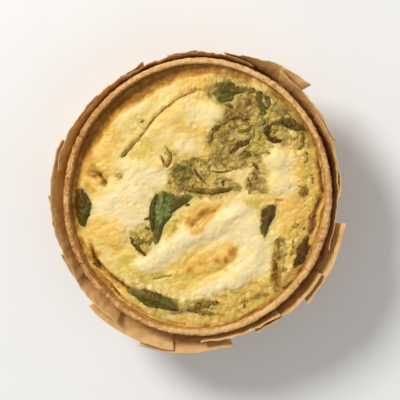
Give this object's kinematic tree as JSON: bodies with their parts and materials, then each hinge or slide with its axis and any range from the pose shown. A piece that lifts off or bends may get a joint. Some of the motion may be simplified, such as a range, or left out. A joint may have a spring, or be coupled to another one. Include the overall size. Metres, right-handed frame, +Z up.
{
  "type": "spinach quiche",
  "caption": "Small deep round spinach quiche: thin pastry shell filled with set egg and cheese custard and spinach leaves, standing in a slit baking paper case whose tabs splay outwards.",
  "frame": {"origin": "centre of the flat underside of the paper case, on the surface that the quiche stands on", "axes": "+Z up along the quiche's own axis; +X to the right and +Y to the top of the picture"},
  "size_m": [0.1082, 0.1097, 0.0357],
  "materials": {
    "pastry": "baked shortcrust pastry, matt and slightly oily, light golden brown",
    "custard": "set egg and cheese custard, pale cream with white curds and golden brown blisters, moist",
    "spinach": "cooked spinach leaf, dark green, moist sheen",
    "baking_paper": "unbleached brown baking paper, smooth, slightly translucent, with fat stains"
  },
  "bodies": {
    "root": {"pastry_shell": "pastry", "filling": "custard", "spinach_leaf_middle": "spinach", "spinach_leaf_front": "spinach", "spinach_leaf_left": "spinach", "spinach_leaf_back": "spinach", "spinach_leaf_right": "spinach", "spinach_leaf_far_right": "spinach", "spinach_leaf_curled": "spinach", "spinach_leaf_inner": "spinach", "spinach_leaf_sunk": "spinach", "paper_case": "baking_paper"}
  },
  "joints": []
}
